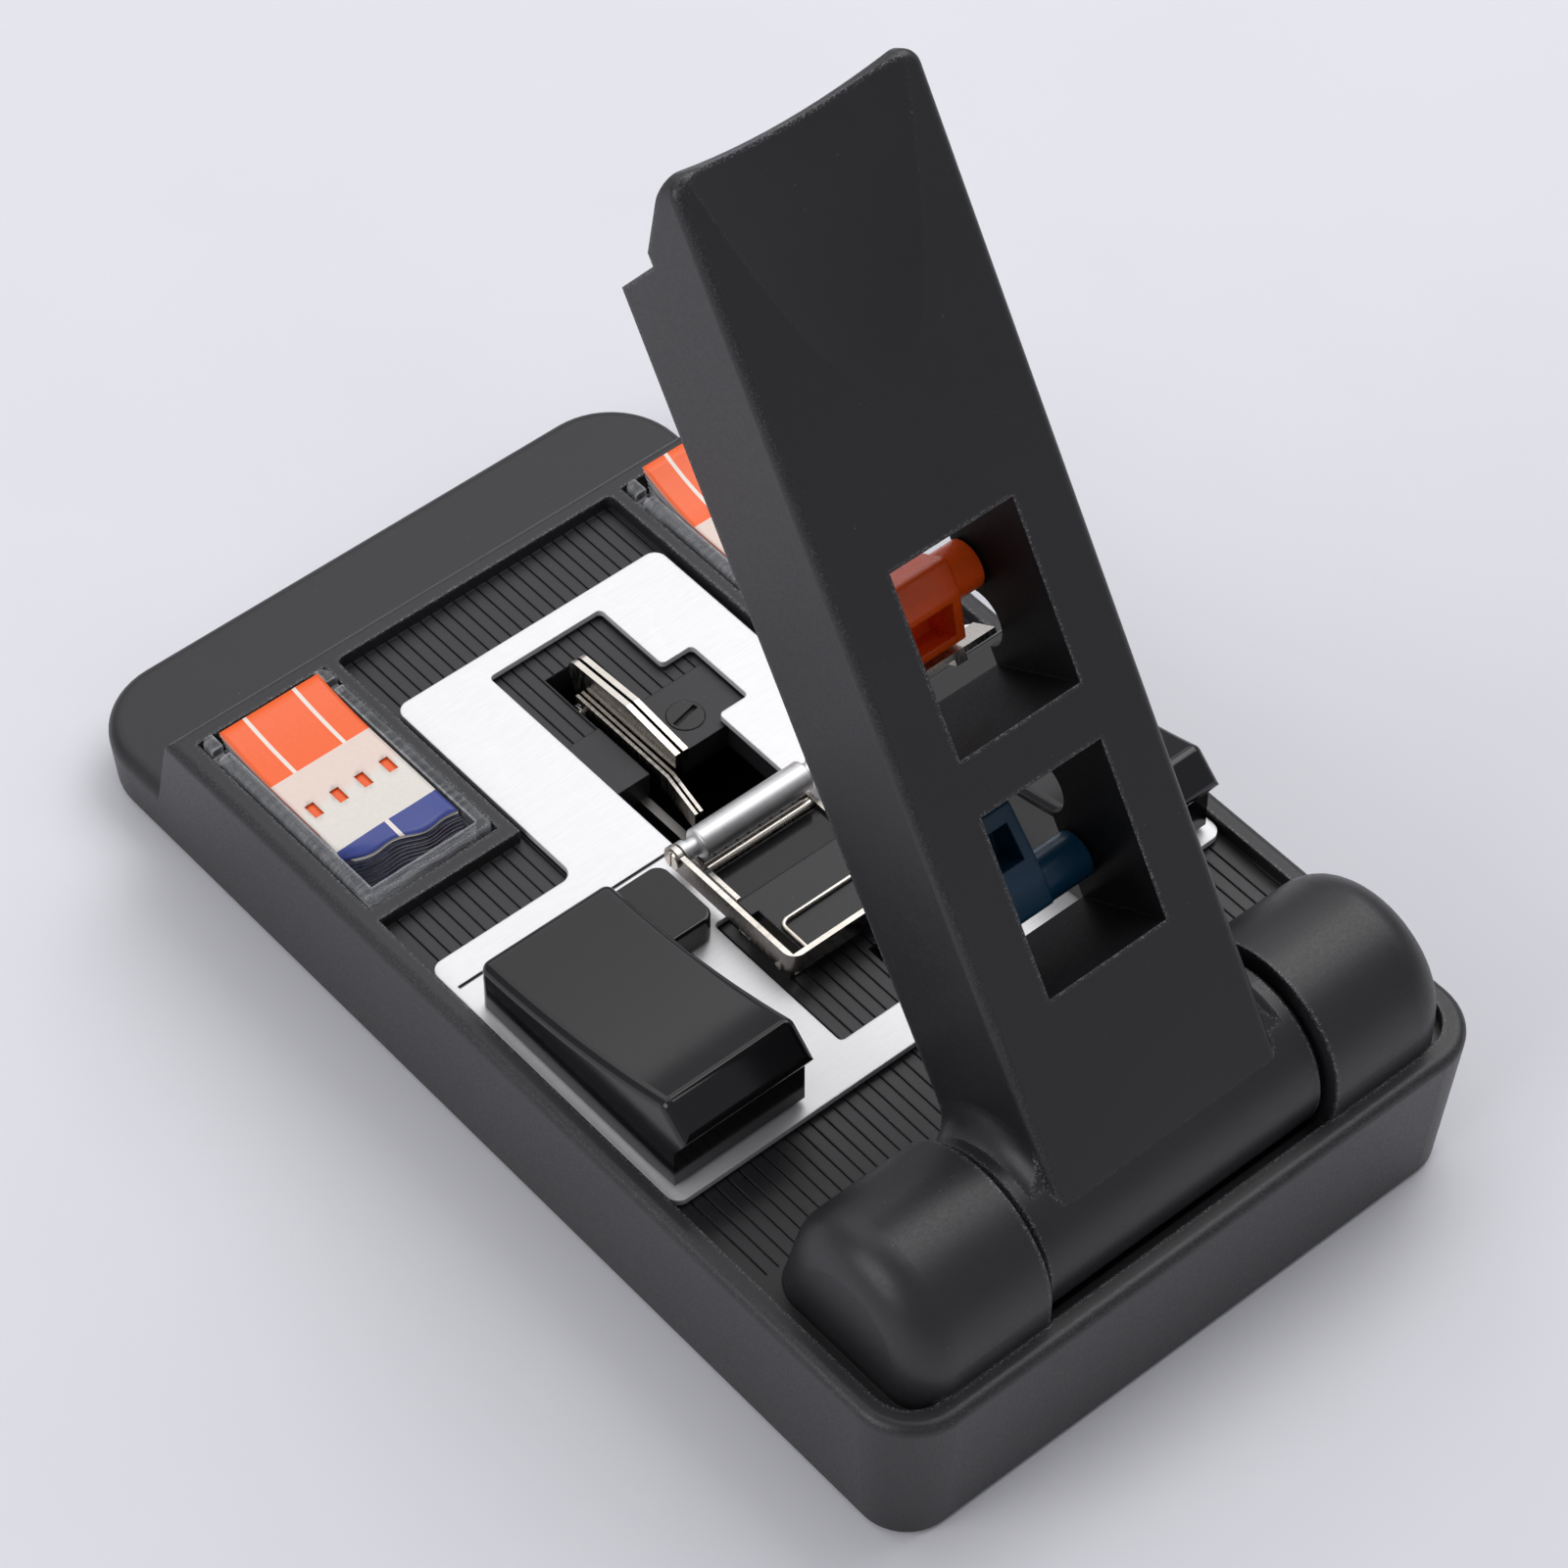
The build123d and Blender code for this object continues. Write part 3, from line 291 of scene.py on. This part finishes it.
def printed_tape():
    """Splicing tape: an orange third, a paper-white middle and a blue end, with thin white lines."""
    material = new_material("printed_tape", Specular_IOR_Level=0.4, Coat_Weight=0.25, Coat_Roughness=0.25)
    source = add_node(material, "ShaderNodeUVMap", {}, uv_map="print")
    split = add_node(material, "ShaderNodeSeparateXYZ", {"Vector": source.outputs[0]})
    across, along = split.outputs[0], split.outputs[1]
    where = place(material)
    fibres = noise(material, where, 1900.0, 3.0)
    orange = mix_colour(material, fibres, (0.95, 0.115, 0.016, 1), (1.0, 0.16, 0.03, 1))
    paper = mix_colour(material, fibres, (0.74, 0.69, 0.62, 1), (0.84, 0.80, 0.74, 1))
    blue = mix_colour(material, fibres, (0.035, 0.055, 0.25, 1), (0.055, 0.075, 0.31, 1))
    # the orange print shows through the first half of the paper as a pink cast
    pink = mix_colour(material, remap(material, along, 0.6, 0.56, 0.0, 0.35), paper, (0.90, 0.55, 0.45, 1))

    def line_at(middle, half_width):
        off = math_node(material, "ABSOLUTE", math_node(material, "SUBTRACT", across, middle), 0.0)
        return math_node(material, "LESS_THAN", off, half_width)

    white = (0.88, 0.80, 0.72, 1)
    front_lines = math_node(material, "MAXIMUM", line_at(0.25, 0.018), line_at(0.75, 0.018))
    front = mix_colour(material, front_lines, orange, white)
    rear = mix_colour(material, line_at(0.5, 0.02), blue, white)
    body = mix_colour(material, math_node(material, "GREATER_THAN", along, PAPER_AT), front, pink)
    whole = mix_colour(material, math_node(material, "GREATER_THAN", along, BLUE_AT), body, rear)
    feed(material, "Base Color", whole)
    feed(material, "Roughness", remap(material, fibres, 0.3, 0.7, 0.34, 0.5))
    bumps(material, [(fibres, 0.06, 0.00003)])
    return material


def paper_edge():
    """The pale cut edge of the tape and its backing."""
    material = new_material("tape_edge", Specular_IOR_Level=0.3)
    where = place(material)
    fibres = noise(material, where, 2400.0, 3.0)
    feed(material, "Base Color", mix_colour(material, fibres, (0.50, 0.47, 0.44, 1), (0.72, 0.68, 0.63, 1)))
    feed(material, "Roughness", remap(material, fibres, 0.3, 0.7, 0.55, 0.75))
    bumps(material, [(fibres, 0.1, 0.00003)])
    return material


def dark_backing():
    """The dark glossy backing that shows where the lower strips stick out."""
    material = new_material("tape_backing", Specular_IOR_Level=0.6)
    where = place(material)
    streaks = noise(material, place(material, (1, 8, 1)), 500.0, 2.0)
    feed(material, "Base Color", mix_colour(material, remap(material, streaks, 0.35, 0.65, 0.0, 1.0),
                                            (0.012, 0.014, 0.03, 1), (0.05, 0.055, 0.10, 1)))
    feed(material, "Roughness", remap(material, streaks, 0.3, 0.7, 0.15, 0.3))
    bumps(material, [(noise(material, where, 300.0, 2.0), 0.06, 0.0001)])
    return material


# the last colour in STEEL is painted shade for its steep, vertical faces
STEEL = dict(colour=(0.72, 0.68, 0.62), roughness=0.24, stretch=(1, 4, 1), tint=(0.50, 0.42, 0.34),
             upright_shade=(0.22, 0.205, 0.19))
# the fifth number of each moulded black is the strength of its painted edge highlights
body_black = moulded_black("body_black", (0.0165, 0.0162, 0.0185), 0.4, 0.3, 0.55, 0.0011, 0.0250)
lever_black = moulded_black("lever_black", (0.0150, 0.0148, 0.0172), 0.38, 0.28, 0.6, 0.0011)
# painted shade: a darker black with low specular for the lever's shaded inner faces
shaded_inner_black = moulded_black("shaded_inner_black", (0.006, 0.006, 0.0068), 0.5, 0.25, 0.0, 0.0004)
shaded_inner_black.node_tree.nodes["Principled BSDF"].inputs["Specular IOR Level"].default_value = 0.12
small_black = moulded_black("small_black", (0.013, 0.013, 0.0145), 0.42, 0.2, 0.25, 0.0004)
cap_black = gloss_black()
plate = plate_metal()
nickel = metal("nickel", **STEEL)
bright_wire = metal("bright_wire", (0.76, 0.71, 0.64), 0.2, (8, 1, 1), tint=(0.56, 0.46, 0.36))
turned = metal("turned_aluminium", (0.68, 0.68, 0.685), 0.42, (12, 1, 1), 0.08)
zinc = metal("bright_zinc", (0.60, 0.60, 0.60), 0.3, (1, 1, 5))
oiled = metal("oiled_spring", (0.24, 0.23, 0.22), 0.32, (6, 1, 1))
orange = coloured_plastic("orange_plastic", (1.0, 0.11, 0.008), 0.26)
blue = coloured_plastic("blue_plastic", (0.006, 0.055, 0.115), 0.28)
clear = clear_plastic()
rubber = soft_rubber()
tape_print = printed_tape()
tape_rim = paper_edge()
tape_backing = dark_backing()

FINISHES = {
    "base_shell": body_black, "base_cover": small_black, "lever_shell": lever_black,
    "adjust_screw": small_black, "pressure_block": small_black, "film_clamp_right": cap_black,
    "film_clamp_left": cap_black, "anvil_block": cap_black, "deck_plate": plate, "roller_frame": nickel,
    "roller_axle": bright_wire, "frame_pivots": bright_wire, "frame_bracket": nickel,
    "wire_bail": bright_wire, "anvil_bar": bright_wire, "anvil_cheeks": nickel,
    "registration_pins": bright_wire, "peel_blade": bright_wire, "finger_plates": nickel,
    "finger_claws": nickel, "finger_pin": bright_wire, "press_roller": turned, "cover_screws": zinc,
    "bracket_screws": bright_wire, "hinge_pin": zinc, "clamp_pin_right": zinc, "clamp_pin_left": zinc,
    "orange_axle": zinc, "blue_axle": zinc, "lever_spring": oiled, "clamp_spring_right": oiled,
    "clamp_spring_left": oiled, "orange_spring": oiled, "blue_spring": oiled, "finger_spring": oiled,
    "guide_strip": oiled, "tape_tray_right": clear, "tape_tray_left": clear, "orange_presser": orange,
    "blue_presser": blue, "rubber_feet": rubber,
}
for node_name, finish in FINISHES.items():
    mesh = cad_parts[node_name].data
    mesh.materials.clear()
    mesh.materials.append(finish)

# the lever's inner faces, behind its outer skin, get a rougher and darker black: painted shade, as the
# lever's own bulk shades them
INNER_START = 14.6 * MM      # along the lever from its hinge axis
INNER_END = 137.8 * MM
INNER_TOP = 10.4 * MM        # above the hinge axis, square to the lever
INNER_HALF = 17.0 * MM
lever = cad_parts["lever_shell"]
lever.data.materials.append(shaded_inner_black)
for face in lever.data.polygons:
    spot = lever.matrix_world @ face.center - HINGE
    along = -spot.y * math.cos(LEVER_OPEN) + spot.z * math.sin(LEVER_OPEN)
    above = spot.y * math.sin(LEVER_OPEN) + spot.z * math.cos(LEVER_OPEN)
    if INNER_START < along < INNER_END and abs(spot.x) < INNER_HALF and above < INNER_TOP:
        face.material_index = 1


# ---- clear trays ----------------------------------------------------------------------------------

def clear_tray(hand):
    """The tray lifted a hair off the floor of its pocket, so that the two faces don't coincide."""
    name = "tape_tray_" + hand
    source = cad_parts[name]
    data = source.data.copy()
    tray = bpy.data.objects.new("clear_tray_" + hand, data)
    scene.collection.objects.link(tray)
    tray.matrix_world = source.matrix_world.copy()
    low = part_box(name)[0].z
    for vertex in data.vertices:
        if (tray.matrix_world @ vertex.co).z < low + 0.05 * MM:
            vertex.co.z += 0.1 * MM
    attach(tray, "base")
    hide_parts(name)


clear_tray("right")
clear_tray("left")


# ---- tape strips ----------------------------------------------------------------------------------

def grid_lines(length, cuts, step):
    """Rising positions from 0 to length that include every cut, no more than about a step apart."""
    stops = sorted({0.0, length, *cuts})
    lines = []
    for low, high in zip(stops, stops[1:]):
        count = max(1, round((high - low) / step))
        lines += [low + (high - low) * k / count for k in range(count)]
    return lines + [length]


def tape_strip(name, left_x, front_y, height, node, wave, holes, print_shift, under):
    """One printed strip. height(u, v) is its top surface over u across and v along, both 0 to 1."""
    hole_middles = [(k + 0.5) * PITCH for k in range(4)]
    x_cuts = [m + s * HOLE_WIDTH / 2 for m in hole_middles for s in (-1, 1)]
    y_cuts = [HOLE_AT * STRIP_LENGTH + s * HOLE_LENGTH / 2 for s in (-1, 1)]
    x_lines = grid_lines(STRIP_WIDTH, x_cuts, 0.9 * MM)
    y_lines = grid_lines(STRIP_LENGTH, y_cuts, 1.2 * MM)
    mesh = bmesh.new()
    prints = mesh.loops.layers.uv.new("print")
    rows = []
    for y in y_lines:
        v = y / STRIP_LENGTH
        row = []
        for x in x_lines:
            u = x / STRIP_WIDTH
            tail = max(0.0, (v - BLUE_AT) / (1 - BLUE_AT))
            drift = -wave * tail * (u ** 1.6 + 0.1 * math.sin(14.0 * u))
            row.append(mesh.verts.new((left_x + x, front_y + y + drift, height(u, v))))
        rows.append(row)
    for j, (low_y, high_y) in enumerate(zip(y_lines, y_lines[1:])):
        middle_y = (low_y + high_y) / 2
        for i, (low_x, high_x) in enumerate(zip(x_lines, x_lines[1:])):
            middle_x = (low_x + high_x) / 2
            in_hole = any(abs(middle_x - m) < HOLE_WIDTH / 2 for m in hole_middles)
            if holes and in_hole and y_cuts[0] < middle_y < y_cuts[1]:
                continue
            face = mesh.faces.new((rows[j][i], rows[j][i + 1], rows[j + 1][i + 1], rows[j + 1][i]))
            face.smooth = True
            ends = ((low_x, low_y), (high_x, low_y), (high_x, high_y), (low_x, high_y))
            for loop, (x, y) in zip(face.loops, ends):
                loop[prints].uv = (x / STRIP_WIDTH, y / STRIP_LENGTH - print_shift)
    data = bpy.data.meshes.new(name)
    mesh.to_mesh(data)
    mesh.free()
    strip = bpy.data.objects.new(name, data)
    scene.collection.objects.link(strip)
    data.materials.append(tape_backing if under else tape_print)
    data.materials.append(tape_rim)
    thick = strip.modifiers.new("thickness", "SOLIDIFY")
    thick.thickness = STRIP_THICKNESS
    thick.offset = -1.0
    thick.material_offset_rim = 1
    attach(strip, "base")
    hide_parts(node)


def tape_stack(hand, strips, curl, seed):
    """A pile of strips in its tray: the front ends curl up, the rear ends fan out and droop."""
    luck = random.Random(seed)
    low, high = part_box("tape_stack_" + hand)
    middle_x = (low.x + high.x) / 2
    floor_z = low.z + 0.15 * MM
    top_z = high.z - 0.25 * MM
    step = (top_z - floor_z) / strips
    for k in range(strips):
        rest_z = floor_z + (k + 0.5) * step
        shift = luck.uniform(-0.12, 0.12) * MM
        phase = luck.uniform(-0.5, 0.5)
        below = strips - 1 - k
        front_y = low.y + (0.1 + (0.05 if k > strips - 3 else 0.22) * below + luck.uniform(0.0, 0.1)) * MM

        def height(u, v, rest_z=rest_z, phase=phase, k=k):
            lift = curl * max(0.0, 0.42 - v) ** 2 / 0.176 * (0.35 + 0.65 * k / strips)
            tail = max(0.0, (v - 0.7) / 0.3) ** 2
            droop = -tail * (1.5 * u * u + 0.25 * math.sin(8.0 * u + phase)) * MM * (0.3 + 0.7 * k / strips)
            return rest_z + lift + droop

        second = k == strips - 2
        tape_strip(f"tape_strip_{hand}_{k + 1:02d}", middle_x - STRIP_WIDTH / 2 + shift, front_y, height,
                   "tape_stack_" + hand, wave=4.0 * MM * (0.45 + 0.55 * k / strips), holes=not second,
                   print_shift=0.35 if second else 0.0, under=k < strips - 2)


tape_stack("right", 12, 1.4 * MM, 3)
tape_stack("left", 12, 3.4 * MM, 8)


# ---- floor, light and camera ----------------------------------------------------------------------

def make_floor():
    """A wide pale floor with a faint mottle."""
    bpy.ops.mesh.primitive_plane_add(size=6.0, location=(0, 0, 0))
    floor = bpy.context.object
    floor.name = "floor"
    material = new_material("floor_paper", Roughness=0.75, Specular_IOR_Level=0.25)
    mottle = noise(material, place(material), 18.0, 4.0)
    feed(material, "Base Color", mix_colour(material, mottle, (0.745, 0.745, 0.785, 1),
                                            (0.79, 0.79, 0.83, 1)))
    floor.data.materials.append(material)


def area_light(name, place_at, aim_at, size, power, colour=(1, 1, 1)):
    light = bpy.data.lights.new(name, "AREA")
    light.shape = "RECTANGLE"
    light.size, light.size_y = size
    light.energy = power
    light.color = colour
    lamp = bpy.data.objects.new(name, light)
    lamp.location = place_at
    lamp.rotation_euler = (Vector(aim_at) - Vector(place_at)).to_track_quat("-Z", "Y").to_euler()
    scene.collection.objects.link(lamp)


def make_world(strength):
    world = bpy.data.worlds.new("studio")
    world.use_nodes = True
    background = world.node_tree.nodes["Background"]
    background.inputs["Color"].default_value = (0.93, 0.94, 1.0, 1)
    background.inputs["Strength"].default_value = strength
    scene.world = world


def make_camera(azimuth, elevation, roll, lens, target, distance):
    """A camera that looks at target from an azimuth and elevation in degrees."""
    a, e = math.radians(azimuth), math.radians(elevation)
    back = Vector((math.sin(a) * math.cos(e), -math.cos(a) * math.cos(e), math.sin(e)))
    right = (-back).cross(Vector((0, 0, 1))).normalized()
    up = right.cross(-back)
    tilt = math.radians(roll)
    side = right * math.cos(tilt) + up * math.sin(tilt)
    top = up * math.cos(tilt) - right * math.sin(tilt)
    data = bpy.data.cameras.new("camera")
    data.lens = lens
    data.sensor_width = 36.0
    data.clip_start = 0.01
    camera = bpy.data.objects.new("camera", data)
    turn = Matrix((side, top, back)).transposed().to_4x4()
    camera.matrix_world = Matrix.Translation(Vector(target) + back * distance) @ turn
    scene.collection.objects.link(camera)
    scene.camera = camera


make_floor()
make_world(0.36)
area_light("key_softbox", (-0.62, -0.02, 0.95), (0, 0, 0.02), (0.9, 0.9), 4.8)
area_light("front_softbox", (-0.30, -0.60, 0.95), (0, 0, 0.02), (1.8, 1.3), 6.0)
area_light("fill_softbox", (0.95, -0.05, 0.62), (0, 0, 0.02), (0.8, 0.7), 4.4)
make_camera(azimuth=138.647, elevation=49.234, roll=0.81, lens=121.17,
            target=(-0.02318, -0.02008, 0.0), distance=0.75566)
scene.view_settings.view_transform = "Standard"
